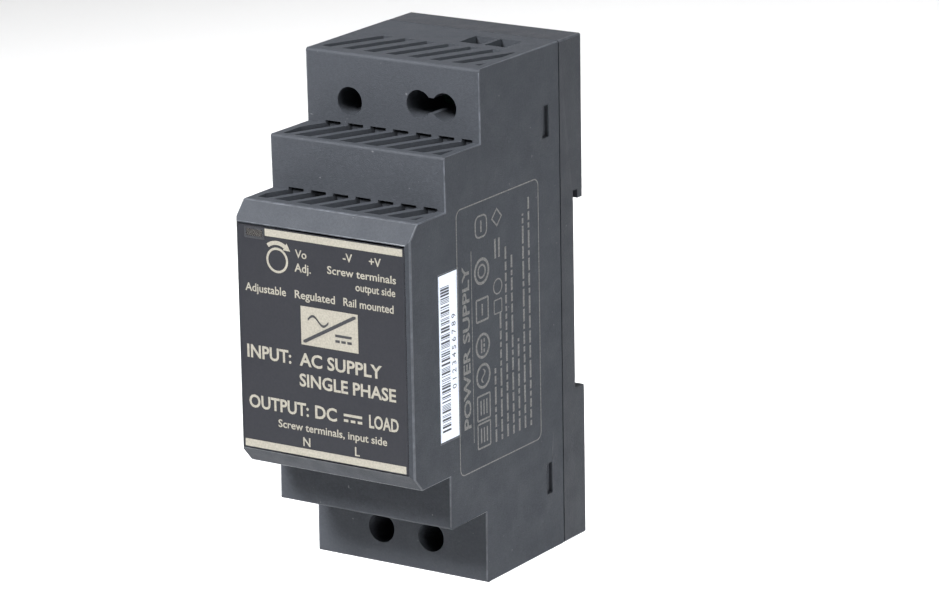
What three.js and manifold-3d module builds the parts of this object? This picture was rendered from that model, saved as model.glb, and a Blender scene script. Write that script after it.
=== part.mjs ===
// A two-module power supply for a 35 mm mounting rail: stepped housing, clip-on rear base with a
// sprung rail latch, screw terminals with rising clamps, and the converter's circuit board.
//
// Millimetres. +X is to the right seen from the front, +Y points back to the rail, +Z is up.
// The origin is the middle of the seat that bears on the front of the rail.
import * as THREE from "three";
import { mergeVertices } from "three/addons/utils/BufferGeometryUtils.js";
import Module from "manifold-3d";

const wasm = await Module();
wasm.setup();

// ---------------------------------------------------------------- driving dimensions

const HALF_WIDTH = 17.5; // two 17.5 mm modules
const HALF_HEIGHT = 45;
const REAR_Y = 3; // rear face of the base, beside the rail
const SEAT_Y = 0; // floor of the rail channel
const SEAM_Y = -4.5; // joint between housing and base
const SEAM_GAP = 0.3;
const TERMINAL_Y = -29.2; // face with the screw access holes
const STEP_Y = -40.15; // face of the middle step
const FRONT_Y = -51.5;
const STEP_Z = 32.3; // ledge between terminal face and middle step
const BLOCK_Z = 23; // ledge between middle step and front block
const BLOCK_CHAMFER = { y: 3, z: 3.25 };
const EDGE_CHAMFER = 0.75; // upright front corners
const ROUND = { terminal: 0.6, step: 0.5 }; // level edges of the terminal face and the middle step
const WALL = 1.8;
const INNER_X = HALF_WIDTH - WALL;
const INNER_Z = HALF_HEIGHT - WALL;

const LABEL = { halfWidth: 16.7, bottom: -19.45, top: 19.4, thickness: 0.3 };
const RECESS = { depth: 0.4, margin: 0.1, glue: 0.05 }; // the shallow pocket that the label lies in
const WINDOW = { x: -13.35, z: 18.2, width: 3.9, height: 1.8, clearance: 0.1 };
const PIPE = { width: 2.4, height: 1.2, clearance: 0.15, gap: 0.1, backY: -7.4 };
const STICKER = { frontY: -42.6, backY: -37, bottom: -16.3, top: 12.5, thickness: 0.1 };
const POCKET = { depth: 0.2, margin: 0.1, glue: 0.05 }; // keeps the sticker just below the side face

const SNAP = { z: 31.8, height: 5.6, frontY: -9.7, backY: -7.8, arm: 1.5, reach: 1.3, clearance: 0.2 };

const VENT_SLOPE = 0.47; // sideways run of a slot per millimetre of depth
const VENT_NOTCH = 0.75; // the ledge slots run this far into the foot of the wall behind them
const VENT_RISE = 0.45; // and this far up it
const VENTS = [
  { level: HALF_HEIGHT, frontY: -26.7, backY: -15.3, pitch: 4.45, first: -15.2, width: 2.2 },
  { level: STEP_Z, frontY: -38.7, backY: TERMINAL_Y + VENT_NOTCH, pitch: 4.6, first: -16.7, width: 3.1 },
  { level: BLOCK_Z, frontY: -46.6, backY: STEP_Y + VENT_NOTCH, pitch: 4.55, first: -15.6, width: 3.1 },
];
const VENT_COUNT = 8;
const VENT_HALF_WIDTH = 15.9;

const PCB = { halfWidth: 15.2, halfHeight: 42.7, backY: -4.7, frontY: -6.3 };
const ON_BOARD = PCB.frontY - 0.1; // where a component's underside stands

// A pole is one wire's clamp. side is +1 at the top of the case and -1 at the bottom.
const OUTPUT = { name: "output", side: 1, poles: [5.3, 10.4], z: 37.7, hole: 4.9, margin: 2.6 };
const INPUT = { name: "input", side: -1, poles: [-4.2, 6], z: -38.6, hole: 5.3, margin: 3.1 };
const TUBE_WALL = 1.2;
const TUBE_END_Y = -18.6;
const ENTRY = { width: 4.3, frontY: -13.1, backY: -7.8 };
const TERMINAL = { frontY: -18.2, inner: 4.4, outerZ: INNER_Z - 0.3 };
const SCREW = { head: 3.8, shank: 2.5, topY: -17.8, neckY: -16.2, tipY: -11.7, slot: 0.7 };
const BAR = { frontY: -11.6, backY: -10.8, width: 2.4 };
const CLAMP = { width: 3.7, height: 4.6, wall: 0.7, frontY: -13.4, backY: -7 };

const TRIMMER = { x: -8.7, z: 36.6, hole: 5, tubeEndY: -12.6, rotor: 3.4, topY: -12.2, seatY: -10.6 };

const RAIL = { half: 17.5, slack: 0.25, flange: 1, lip: 1.6, seatHalf: 15.9, relief: 0.25 };
const LATCH = { half: 6.8, flange: 1.6, frontY: 0.65, stepY: 1.75, backY: 2.95, bottom: -44.6, play: 0.15 };
const SPRING = { outer: 2, wire: 0.34, turns: 9, bottom: -35.1, top: -24.1, y: 1.75 };

// ---------------------------------------------------------------- shape helpers

const X = new THREE.Vector3(1, 0, 0);
const Y = new THREE.Vector3(0, 1, 0);
const Z = new THREE.Vector3(0, 0, 1);

function solid(geometry) {
  const bare = geometry.clone();
  bare.deleteAttribute("normal");
  bare.deleteAttribute("uv");
  const merged = mergeVertices(bare, 1e-4);
  return new wasm.Manifold(
    new wasm.Mesh({
      numProp: 3,
      vertProperties: merged.attributes.position.array,
      triVerts: new Uint32Array(merged.index.array),
    }),
  );
}

function surface(body) {
  const mesh = body.getMesh();
  const geometry = new THREE.BufferGeometry();
  geometry.setAttribute("position", new THREE.BufferAttribute(mesh.vertProperties, 3));
  geometry.setIndex(new THREE.BufferAttribute(mesh.triVerts, 1));
  geometry.computeVertexNormals();
  return geometry;
}

function join(...bodies) {
  return bodies.reduce((sum, body) => sum.add(body));
}

function cut(body, ...tools) {
  return tools.reduce((rest, tool) => rest.subtract(tool), body);
}

function box(x, y, z) {
  const geometry = new THREE.BoxGeometry(x[1] - x[0], y[1] - y[0], z[1] - z[0]);
  geometry.translate((x[0] + x[1]) / 2, (y[0] + y[1]) / 2, (z[0] + z[1]) / 2);
  return solid(geometry);
}

function around(centre, size) {
  return [centre - size / 2, centre + size / 2];
}

function mirrored(half) {
  return [-half, half];
}

function span(a, b) {
  return [Math.min(a, b), Math.max(a, b)];
}

function outline(points) {
  return new THREE.Shape(points.map(([a, b]) => new THREE.Vector2(a, b)));
}

function roundedRect(width, height, radius) {
  const shape = new THREE.Shape();
  const w = width / 2 - radius;
  const h = height / 2 - radius;
  shape.absarc(w, h, radius, 0, Math.PI / 2);
  shape.absarc(-w, h, radius, Math.PI / 2, Math.PI);
  shape.absarc(-w, -h, radius, Math.PI, 1.5 * Math.PI);
  shape.absarc(w, -h, radius, 1.5 * Math.PI, 2 * Math.PI);
  return shape;
}

function extruded(shape, length, basis) {
  const geometry = new THREE.ExtrudeGeometry(shape, {
    depth: length,
    bevelEnabled: false,
    curveSegments: 5,
  });
  return geometry.applyMatrix4(new THREE.Matrix4().makeBasis(...basis));
}

// A (y, z) outline run along X.
function alongX(shape, x) {
  return solid(extruded(shape, x[1] - x[0], [Y, Z, X]).translate(x[0], 0, 0));
}

// An (x, z) outline run along Y, placed at the given centre.
function alongY(shape, y, at = [0, 0]) {
  const geometry = extruded(shape, y[1] - y[0], [X, Z, Y.clone().negate()]);
  return solid(geometry.translate(at[0], y[1], at[1]));
}

// An (x, y) outline run along Z.
function alongZ(shape, z) {
  return solid(extruded(shape, z[1] - z[0], [X, Y, Z]).translate(0, 0, z[0]));
}

function rodY(at, diameter, y, sides = 28) {
  const geometry = new THREE.CylinderGeometry(diameter / 2, diameter / 2, y[1] - y[0], sides);
  return solid(geometry.translate(at[0], (y[0] + y[1]) / 2, at[1]));
}

// A turned body on an axis along Y: points are [radius, y], from its front to its back.
function turnedY(at, points, sides = 28) {
  const profile = points.map(([r, y]) => new THREE.Vector2(r, y));
  return solid(new THREE.LatheGeometry(profile, sides).translate(at[0], 0, at[1]));
}

function plastic(color, roughness = 0.55) {
  return new THREE.MeshStandardMaterial({ color, roughness, metalness: 0 });
}

function metal(color, roughness = 0.35) {
  return new THREE.MeshStandardMaterial({ color, roughness, metalness: 1 });
}

const MATERIAL = {
  housing: plastic(0x3f4348, 0.6),
  base: plastic(0x3a3e44, 0.6),
  label: plastic(0x2c2e33, 0.45),
  clear: plastic(0xd8dcdc, 0.12),
  paper: plastic(0xe4e6ec, 0.6),
  board: plastic(0x2f5b3a, 0.5),
  terminal: plastic(0x2b6a4c, 0.5),
  black: plastic(0x1a1a1c, 0.5),
  sleeve: plastic(0x222a44, 0.35),
  yellow: plastic(0xc9a440, 0.45),
  blue: plastic(0x2d6fa8, 0.4),
  ferrite: plastic(0x33302e, 0.7),
  copper: metal(0xb87333, 0.35),
  steel: metal(0xb9bcc0, 0.32),
  brass: metal(0xc2a15a, 0.35),
  aluminium: metal(0xc4c7ca, 0.4),
};

const part = new THREE.Group();

function addNode(name, body, material, group = part) {
  const mesh = new THREE.Mesh(surface(body), material);
  mesh.name = name;
  group.add(mesh);
}

function addGroup(name) {
  const group = new THREE.Group();
  group.name = name;
  part.add(group);
  return group;
}

// ---------------------------------------------------------------- housing

// A quarter circle of (y, z) points inside the outer corner at the given place.
function roundedCorner([y, z], radius, steps = 6) {
  const points = [];
  for (let i = 0; i <= steps; i += 1) {
    const angle = (Math.PI / 2) * (i / steps);
    points.push([y + radius * (1 - Math.sin(angle)), z - radius * (1 - Math.cos(angle))]);
  }
  return points;
}

// The stepped side outline of the outer skin.
function skinOutline() {
  const upper = [
    [SEAM_Y, HALF_HEIGHT],
    ...roundedCorner([TERMINAL_Y, HALF_HEIGHT], ROUND.terminal),
    [TERMINAL_Y, STEP_Z],
    ...roundedCorner([STEP_Y, STEP_Z], ROUND.step),
    [STEP_Y, BLOCK_Z],
    [FRONT_Y + BLOCK_CHAMFER.y, BLOCK_Z],
    [FRONT_Y, BLOCK_Z - BLOCK_CHAMFER.z],
  ];
  return outline(withMirror(upper));
}

// The stepped outline of the hollow, a wall's thickness inside the skin.
function hollowOutline() {
  const slopeInset = WALL * 0.35; // keeps the chamfer's wall as thick as the flat ones
  const upper = [
    [SEAM_Y + 5, INNER_Z],
    [TERMINAL_Y + WALL, INNER_Z],
    [TERMINAL_Y + WALL, STEP_Z - WALL],
    [STEP_Y + WALL, STEP_Z - WALL],
    [STEP_Y + WALL, BLOCK_Z - WALL],
    [FRONT_Y + BLOCK_CHAMFER.y + slopeInset, BLOCK_Z - WALL],
    [FRONT_Y + WALL, BLOCK_Z - BLOCK_CHAMFER.z - slopeInset],
  ];
  return outline(withMirror(upper));
}

function withMirror(upper) {
  const lower = upper.map(([y, z]) => [y, -z]);
  return [...upper, ...lower.reverse()];
}

function cornerCut(side) {
  const edge = HALF_WIDTH + 1;
  const shape = outline([
    [side * (HALF_WIDTH - EDGE_CHAMFER), FRONT_Y - 1e-3],
    [side * (HALF_WIDTH + 1e-3), FRONT_Y + EDGE_CHAMFER],
    [side * edge, FRONT_Y + EDGE_CHAMFER],
    [side * edge, FRONT_Y - 1],
    [side * (HALF_WIDTH - EDGE_CHAMFER), FRONT_Y - 1],
  ]);
  return alongZ(shape, mirrored(BLOCK_Z + 1));
}

// One row of slanted slots through a level wall, mirrored to the underside when side is -1.
function ventRow(row, side) {
  const run = (row.backY - row.frontY) * VENT_SLOPE;
  const levels = span(side * (row.level - WALL - 1), side * (row.level + VENT_RISE));
  const slots = [];
  for (let i = 0; i < VENT_COUNT; i += 1) {
    const left = row.first + i * row.pitch - row.width / 2;
    const shape = outline([
      [left, row.frontY],
      [left + row.width, row.frontY],
      [left + row.width + run, row.backY],
      [left + run, row.backY],
    ]);
    slots.push(alongZ(shape, levels));
  }
  return join(...slots).intersect(
    box(mirrored(VENT_HALF_WIDTH), [row.frontY, row.backY], levels),
  );
}

function accessTubes(terminal) {
  const outer = terminal.hole + 2 * TUBE_WALL;
  return terminal.poles.map((x) => rodY([x, terminal.z], outer, [TERMINAL_Y + 1, TUBE_END_Y]));
}

function accessBores(terminal) {
  const through = [TERMINAL_Y - 1, TUBE_END_Y + 1];
  return terminal.poles.map((x) => rodY([x, terminal.z], terminal.hole, through));
}

function wireEntries(terminal) {
  const levels = span(terminal.side * (INNER_Z - 1), terminal.side * (HALF_HEIGHT + 1));
  const depth = [ENTRY.frontY, ENTRY.backY];
  return terminal.poles.map((x) => box(around(x, ENTRY.width), depth, levels));
}

function frontHousing() {
  const shell = cut(
    alongX(skinOutline(), mirrored(HALF_WIDTH)),
    alongX(hollowOutline(), mirrored(INNER_X)),
  );
  const trimmerAt = [TRIMMER.x, TRIMMER.z];
  const tubeDepth = [TERMINAL_Y + 1, TRIMMER.tubeEndY];
  const trimmerTube = rodY(trimmerAt, TRIMMER.hole + 2 * TUBE_WALL, tubeDepth);
  const tubes = [...accessTubes(OUTPUT), ...accessTubes(INPUT), trimmerTube];

  const neckHeight = 2.7; // the two output holes run into each other
  const neck = box(OUTPUT.poles, [TERMINAL_Y - 1, TUBE_END_Y + 1], around(OUTPUT.z, neckHeight));
  const trimmerBore = rodY(trimmerAt, TRIMMER.hole, [TERMINAL_Y - 1, TRIMMER.tubeEndY + 1]);
  const bores = [...accessBores(OUTPUT), ...accessBores(INPUT), neck, trimmerBore];

  const snapSlots = [-1, 1].map((end) =>
    box(mirrored(HALF_WIDTH + 1), [SNAP.frontY, SNAP.backY], around(end * SNAP.z, SNAP.height)),
  );
  const labelRecess = box(
    mirrored(LABEL.halfWidth + RECESS.margin),
    [FRONT_Y - 1, FRONT_Y + RECESS.depth],
    [LABEL.bottom - RECESS.margin, LABEL.top + RECESS.margin],
  );
  const stickerPocket = box(
    [HALF_WIDTH - POCKET.depth, HALF_WIDTH + 1],
    [STICKER.frontY - POCKET.margin, STICKER.backY + POCKET.margin],
    [STICKER.bottom - POCKET.margin, STICKER.top + POCKET.margin],
  );
  const pipeHole = box(
    around(WINDOW.x, PIPE.width + 2 * PIPE.clearance),
    [FRONT_Y - 1, FRONT_Y + WALL + 1],
    around(WINDOW.z, PIPE.height + 2 * PIPE.clearance),
  );
  const vents = VENTS.flatMap((row) => [ventRow(row, 1), ventRow(row, -1)]);
  return cut(
    join(shell, ...tubes),
    ...bores,
    ...snapSlots,
    labelRecess,
    stickerPocket,
    pipeHole,
    ...vents,
    ...wireEntries(OUTPUT),
    ...wireEntries(INPUT),
    cornerCut(-1),
    cornerCut(1),
  );
}

const filmBackY = FRONT_Y + RECESS.depth - RECESS.glue;
const filmDepth = [filmBackY - LABEL.thickness, filmBackY];

function frontLabel() {
  const windowHole = box(
    around(WINDOW.x, WINDOW.width + WINDOW.clearance),
    [FRONT_Y - 1, FRONT_Y + 1],
    around(WINDOW.z, WINDOW.height + WINDOW.clearance),
  );
  const film = box(mirrored(LABEL.halfWidth), filmDepth, [LABEL.bottom, LABEL.top]);
  return cut(film, windowHole);
}

function ledWindow() {
  return box(around(WINDOW.x, WINDOW.width), filmDepth, around(WINDOW.z, WINDOW.height));
}

function lightPipe() {
  return box(
    around(WINDOW.x, PIPE.width),
    [FRONT_Y + RECESS.depth + PIPE.gap, PIPE.backY],
    around(WINDOW.z, PIPE.height),
  );
}

function serialSticker() {
  const inner = HALF_WIDTH - POCKET.depth + POCKET.glue;
  return box(
    [inner, inner + STICKER.thickness],
    [STICKER.frontY, STICKER.backY],
    [STICKER.bottom, STICKER.top],
  );
}

const housingGroup = addGroup("housing");
addNode("front_housing", frontHousing(), MATERIAL.housing, housingGroup);
addNode("front_label", frontLabel(), MATERIAL.label, housingGroup);
addNode("led_window", ledWindow(), MATERIAL.clear, housingGroup);
addNode("light_pipe", lightPipe(), MATERIAL.clear, housingGroup);
addNode("serial_sticker", serialSticker(), MATERIAL.paper, housingGroup);

// ---------------------------------------------------------------- rear base and rail latch

const BASE = { frontY: SEAM_Y + SEAM_GAP, floor: 2.2, wall: 2, upperCavityY: 1, lowerCavityY: -1.3 };
const CHANNEL = RAIL.half + RAIL.slack;
const HOOK_Y = SEAT_Y + RAIL.flange + 0.2; // front of the hooks, just behind the rail's flanges
const SHELF = { half: 2.1, height: 2, root: 0.5, backY: 2.65, gap: 0.1 }; // the spring's fixed stop
const HOOK = { bite: 1.3, bevelY: 0.5, bevelZ: 1.2, clear: 0.6 }; // the latch's sloped nose
const SPRING_WINDOW = { side: 0.3, below: 0.5, above: 0.1 }; // its room round the shelf and the spring
const TOOL_SLOT = { half: 2.6, rise: 3, height: 1.6 }; // where a screwdriver pulls the latch down
const BARB = { lead: 0.9, taper: 0.3, step: 0.1 }; // the snap arm's tip

// A snap arm stands forward inside the housing wall and its barb fills the slot there.
function snapArm(side, end) {
  const outer = INNER_X - SNAP.clearance;
  const z = around(end * SNAP.z, SNAP.height - 2 * SNAP.clearance);
  const frontY = SNAP.frontY - BARB.lead;
  const barb = outline([
    [side * (outer - SNAP.arm), BASE.frontY + 1],
    [side * outer, BASE.frontY + 1],
    [side * outer, SNAP.backY - SNAP.clearance],
    [side * (outer + SNAP.reach), SNAP.backY - SNAP.clearance],
    [side * (outer + SNAP.reach), SNAP.frontY + 1],
    [side * (outer + BARB.step), SNAP.frontY + SNAP.clearance],
    [side * (outer - BARB.taper), frontY],
    [side * (outer - SNAP.arm), frontY],
  ]);
  return alongZ(barb, z);
}

// The foot that ties a snap arm to the base's side wall.
function snapRoot(side, end) {
  const x = span(side * (INNER_X - SNAP.clearance - SNAP.arm), side * (HALF_WIDTH - BASE.wall + 1));
  return box(x, [BASE.frontY, BASE.lowerCavityY + 0.1], around(end * SNAP.z, SNAP.height));
}

function rearBase() {
  const block = box(mirrored(HALF_WIDTH), [BASE.frontY, REAR_Y], mirrored(HALF_HEIGHT));
  const cavityX = mirrored(HALF_WIDTH - BASE.wall);
  const openY = BASE.frontY - 1;
  const topZ = HALF_HEIGHT - BASE.wall;
  const cavities = [
    box(cavityX, [openY, BASE.upperCavityY], [CHANNEL + BASE.wall, topZ]),
    box(cavityX, [openY, SEAT_Y - BASE.floor], [-CHANNEL, CHANNEL + BASE.wall + 1]),
    box(cavityX, [openY, BASE.lowerCavityY], [-topZ, -CHANNEL - BASE.wall]),
    box(cavityX, [openY, SEAT_Y - BASE.floor], [-CHANNEL - BASE.wall - 1, -CHANNEL + 1]),
  ];
  const fullWidth = mirrored(HALF_WIDTH + 1);
  const reliefY = SEAT_Y - RAIL.relief;
  const channel = join(
    box(fullWidth, [SEAT_Y, HOOK_Y], mirrored(CHANNEL)),
    box(fullWidth, [SEAT_Y, REAR_Y + 1], [-CHANNEL, CHANNEL - RAIL.lip]),
    box(fullWidth, [reliefY, HOOK_Y], [RAIL.seatHalf, CHANNEL]),
    box(fullWidth, [reliefY, HOOK_Y], [-CHANNEL, -RAIL.seatHalf]),
  );
  const frontY = LATCH.frontY - LATCH.play;
  const height = [-HALF_HEIGHT - 1, -CHANNEL + 1];
  const latchWay = join(
    box(mirrored(LATCH.half + LATCH.flange + LATCH.play), [frontY, LATCH.stepY + LATCH.play], height),
    box(mirrored(LATCH.half + LATCH.play), [frontY, REAR_Y + 1], height),
  );
  const shelfZ = [SPRING.bottom - SHELF.height - SHELF.gap, SPRING.bottom - SHELF.gap];
  const shelf = box(mirrored(SHELF.half), [BASE.lowerCavityY + SHELF.root, SHELF.backY], shelfZ);
  const corners = [-1, 1].flatMap((side) => [-1, 1].map((end) => [side, end]));
  const roots = corners.map(([side, end]) => snapRoot(side, end));
  const arms = corners.map(([side, end]) => snapArm(side, end));
  return join(cut(block, ...cavities, channel, latchWay), shelf, ...roots, ...arms);
}

function railLatch() {
  const hookZ = -RAIL.half + HOOK.bite;
  const flangeTop = -CHANNEL - HOOK.clear;
  const hook = outline([
    [LATCH.frontY, LATCH.bottom],
    [LATCH.backY, LATCH.bottom],
    [LATCH.backY, hookZ - HOOK.bevelZ],
    [HOOK_Y + HOOK.bevelY, hookZ],
    [HOOK_Y, hookZ],
    [HOOK_Y, flangeTop],
    [LATCH.frontY, flangeTop],
  ]);
  const plate = alongX(hook, mirrored(LATCH.half));
  const flanges = box(
    mirrored(LATCH.half + LATCH.flange),
    [LATCH.frontY, LATCH.stepY],
    [LATCH.bottom + 2, flangeTop],
  );
  const through = [LATCH.frontY - 1, LATCH.backY + 1];
  const springWindow = box(
    mirrored(SHELF.half + SPRING_WINDOW.side),
    through,
    [SPRING.bottom - SHELF.height - SPRING_WINDOW.below, SPRING.top + SPRING_WINDOW.above],
  );
  const slotHeight = around(LATCH.bottom + TOOL_SLOT.rise, TOOL_SLOT.height);
  const toolSlot = box(mirrored(TOOL_SLOT.half), through, slotHeight);
  return cut(join(plate, flanges), springWindow, toolSlot);
}

class Helix extends THREE.Curve {
  constructor(radius, turns, low, high) {
    super();
    Object.assign(this, { radius, turns, low, high });
  }

  getPoint(t) {
    const angle = 2 * Math.PI * this.turns * t;
    const z = this.low + (this.high - this.low) * t;
    return new THREE.Vector3(this.radius * Math.cos(angle), this.radius * Math.sin(angle), z);
  }
}

function latchSpring() {
  const section = new THREE.Shape().absarc(0, 0, SPRING.wire / 2, 0, 2 * Math.PI);
  const margin = SPRING.wire / 2 + 0.05;
  const path = new Helix(
    (SPRING.outer - SPRING.wire) / 2,
    SPRING.turns,
    SPRING.bottom + margin,
    SPRING.top - margin,
  );
  const geometry = new THREE.ExtrudeGeometry(section, {
    steps: SPRING.turns * 12,
    curveSegments: 3,
    extrudePath: path,
  });
  return solid(geometry.translate(0, SPRING.y, 0));
}

const baseGroup = addGroup("base");
addNode("rear_base", rearBase(), MATERIAL.base, baseGroup);
addNode("rail_latch", railLatch(), MATERIAL.black, baseGroup);
addNode("latch_spring", latchSpring(), MATERIAL.steel, baseGroup);

// ---------------------------------------------------------------- circuit board

function mainPcb() {
  const board = box(mirrored(PCB.halfWidth), [PCB.frontY, PCB.backY], mirrored(PCB.halfHeight));
  const notchDepth = PCB.halfWidth - (INNER_X - SNAP.clearance - SNAP.arm) + 0.3;
  const notches = [-1, 1].flatMap((side) =>
    [-1, 1].map((end) => {
      const edge = span(side * (PCB.halfWidth - notchDepth), side * (PCB.halfWidth + 1));
      return box(edge, [PCB.frontY - 1, PCB.backY + 1], around(end * SNAP.z, SNAP.height + 0.4));
    }),
  );
  return cut(board, ...notches);
}

addNode("main_pcb", mainPcb(), MATERIAL.board);

// ---------------------------------------------------------------- screw terminals

// The moulded block: a screw well, a clamp chamber open to the wire entry, and a solid foot.
function terminalBody(terminal) {
  const { poles, side, z, margin } = terminal;
  const farZ = side * TERMINAL.outerZ;
  const width = [poles[0] - margin, poles[1] + margin];
  const block = box(width, [TERMINAL.frontY, ON_BOARD], span(z - side * TERMINAL.inner, farZ));
  const chamberHeight = span(z - side * (CLAMP.height / 2 + 0.5), farZ + side);
  const chamberDepth = [SCREW.neckY - 0.1, CLAMP.backY + 0.2];
  const tools = poles.flatMap((x) => [
    rodY([x, z], SCREW.head + 0.5, [TERMINAL.frontY - 1, SCREW.neckY + 0.5]),
    box(around(x, CLAMP.width + 0.6), chamberDepth, chamberHeight),
  ]);
  const brow = { depth: [SCREW.neckY - 0.2, ENTRY.frontY], height: span(farZ - side * 0.8, farZ) };
  const brows = poles.map((x) => box(around(x, CLAMP.width + 0.7), brow.depth, brow.height));
  return join(cut(block, ...tools), ...brows);
}

// The fixed contact bar runs through the clamp and ends in the block behind it.
function contactBar(terminal, x) {
  const { side, z } = terminal;
  const reach = CLAMP.height / 2 + 0.3;
  const height = span(z - side * reach, z + side * (reach + 0.2));
  return box(around(x, BAR.width), [BAR.frontY, BAR.backY], height);
}

function clamp(terminal, x) {
  const heights = around(terminal.z, CLAMP.height);
  const outer = box(around(x, CLAMP.width), [CLAMP.frontY, CLAMP.backY], heights);
  const opening = box(
    around(x, CLAMP.width - 2 * CLAMP.wall + 0.4),
    [CLAMP.frontY + CLAMP.wall, CLAMP.backY - CLAMP.wall],
    around(terminal.z, CLAMP.height + 2),
  );
  const threadDepth = [CLAMP.frontY - 1, CLAMP.frontY + CLAMP.wall + 0.5];
  const thread = rodY([x, terminal.z], SCREW.shank + 0.2, threadDepth, 20);
  return cut(outer, opening, thread);
}

function screw(terminal, x) {
  const head = SCREW.head / 2;
  const shank = SCREW.shank / 2;
  const bevel = 0.35;
  const blank = turnedY([x, terminal.z], [
    [0, SCREW.topY],
    [head - bevel, SCREW.topY],
    [head, SCREW.topY + bevel],
    [head, SCREW.neckY],
    [shank, SCREW.neckY],
    [shank, SCREW.tipY - bevel],
    [shank - bevel, SCREW.tipY],
    [0, SCREW.tipY],
  ], 24);
  const slot = box(
    around(x, SCREW.head + 1),
    [SCREW.topY - 1, SCREW.topY + SCREW.slot],
    around(terminal.z, SCREW.slot),
  );
  return cut(blank, slot);
}

for (const terminal of [OUTPUT, INPUT]) {
  const group = addGroup(terminal.name + "_terminal");
  addNode(terminal.name + "_terminal_body", terminalBody(terminal), MATERIAL.terminal, group);
  terminal.poles.forEach((x, i) => {
    const pole = terminal.name + "_" + (i + 1);
    addNode(pole + "_contact", contactBar(terminal, x), MATERIAL.brass, group);
    addNode(pole + "_clamp", clamp(terminal, x), MATERIAL.steel, group);
    addNode(pole + "_screw", screw(terminal, x), MATERIAL.steel, group);
  });
}

// ---------------------------------------------------------------- voltage trimmer and indicator

function trimmerBody() {
  const at = [TRIMMER.x, TRIMMER.z];
  const block = alongY(roundedRect(6.6, 6.6, 0.5), [TRIMMER.seatY, ON_BOARD], at);
  return cut(block, rodY(at, TRIMMER.rotor + 0.4, [TRIMMER.seatY - 1, TRIMMER.seatY + 1.2]));
}

function trimmerRotor() {
  const at = [TRIMMER.x, TRIMMER.z];
  const rotor = rodY(at, TRIMMER.rotor, [TRIMMER.topY, TRIMMER.seatY + 1]);
  const slotWidth = 0.7;
  const slotDepth = [TRIMMER.topY - 1, TRIMMER.topY + 0.8];
  return cut(
    rotor,
    box(around(TRIMMER.x, TRIMMER.rotor + 1), slotDepth, around(TRIMMER.z, slotWidth)),
    box(around(TRIMMER.x, slotWidth), slotDepth, around(TRIMMER.z, TRIMMER.rotor * 0.65)),
  );
}

addNode("trimmer_body", trimmerBody(), MATERIAL.blue);
addNode("trimmer_rotor", trimmerRotor(), MATERIAL.paper);
addNode(
  "status_led",
  box(around(WINDOW.x, 2), [ON_BOARD - 0.7, ON_BOARD], around(WINDOW.z, 1.25)),
  MATERIAL.clear,
);

// ---------------------------------------------------------------- transformer

const CORE = {
  z: 5.5,
  half: 12.5,
  depth: 7,
  plate: 3.2,
  centre: 7,
  leg: 3.1,
  rearY: -10,
  splitY: -18.5,
  glue: 0.06,
};
const BOBBIN = { wall: 0.8, flange: 0.8, flangeX: 8.9, flangeZ: 9, wind: 8.3 };

// One E-shaped half: a back plate with a centre leg and two outer legs.
function coreHalf(backY, tipY) {
  const inward = Math.sign(tipY - backY);
  const plateY = backY + inward * CORE.plate;
  const side = CORE.half - CORE.leg;
  const middle = CORE.centre / 2;
  const points = [
    [-CORE.half, backY],
    [CORE.half, backY],
    [CORE.half, tipY],
    [side, tipY],
    [side, plateY],
    [middle, plateY],
    [middle, tipY],
    [-middle, tipY],
    [-middle, plateY],
    [-side, plateY],
    [-side, tipY],
    [-CORE.half, tipY],
  ];
  return alongZ(outline(points), around(CORE.z, CORE.depth));
}

const coreFrontY = 2 * CORE.splitY - CORE.rearY;
const windowY = [coreFrontY + CORE.plate + 0.2, CORE.rearY - CORE.plate - 0.2];

// A square-cornered or rounded ring round the centre leg: outer and inner are half sizes.
function ring(outer, inner, y) {
  const shape = roundedRect(2 * outer.x, 2 * outer.z, outer.radius);
  shape.holes.push(roundedRect(2 * inner.x, 2 * inner.z, inner.radius));
  return alongY(shape, y, [0, CORE.z]);
}

function half(size, radius) {
  return { x: size, z: size, radius };
}

function transformerBobbin() {
  const bore = CORE.centre / 2 + 0.2;
  const barrel = bore + BOBBIN.wall;
  const rim = { x: BOBBIN.flangeX, z: BOBBIN.flangeZ, radius: 0.6 };
  const flangeAt = (y) => ring(rim, half(bore, 0.3), y);
  const feet = [-1, 1].map((end) => {
    const z = span(CORE.z + end * (CORE.depth / 2 + 0.6), CORE.z + end * BOBBIN.flangeZ);
    return box(mirrored(BOBBIN.flangeX), [windowY[1] - BOBBIN.flange, ON_BOARD], z);
  });
  return join(
    ring(half(barrel, 0.6), half(bore, 0.3), windowY),
    flangeAt([windowY[0], windowY[0] + BOBBIN.flange]),
    flangeAt([windowY[1] - BOBBIN.flange, windowY[1]]),
    ...feet,
  );
}

const windingY = [windowY[0] + BOBBIN.flange + 0.1, windowY[1] - BOBBIN.flange - 0.1];
const windingInner = CORE.centre / 2 + 0.2 + BOBBIN.wall + 0.1;
const transformer = addGroup("transformer");
const gapY = [CORE.splitY - CORE.glue / 2, CORE.splitY + CORE.glue / 2];
const winding = ring(half(BOBBIN.wind, 2.4), half(windingInner, 0.7), windingY);
const tape = ring(half(BOBBIN.wind + 0.35, 2.75), half(BOBBIN.wind + 0.1, 2.5), windingY);
addNode("transformer_core_rear", coreHalf(CORE.rearY, gapY[1]), MATERIAL.ferrite, transformer);
addNode("transformer_core_front", coreHalf(coreFrontY, gapY[0]), MATERIAL.ferrite, transformer);
addNode("transformer_bobbin", transformerBobbin(), MATERIAL.black, transformer);
addNode("transformer_winding", winding, MATERIAL.copper, transformer);
addNode("transformer_tape", tape, MATERIAL.yellow, transformer);

// ---------------------------------------------------------------- other components

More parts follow.
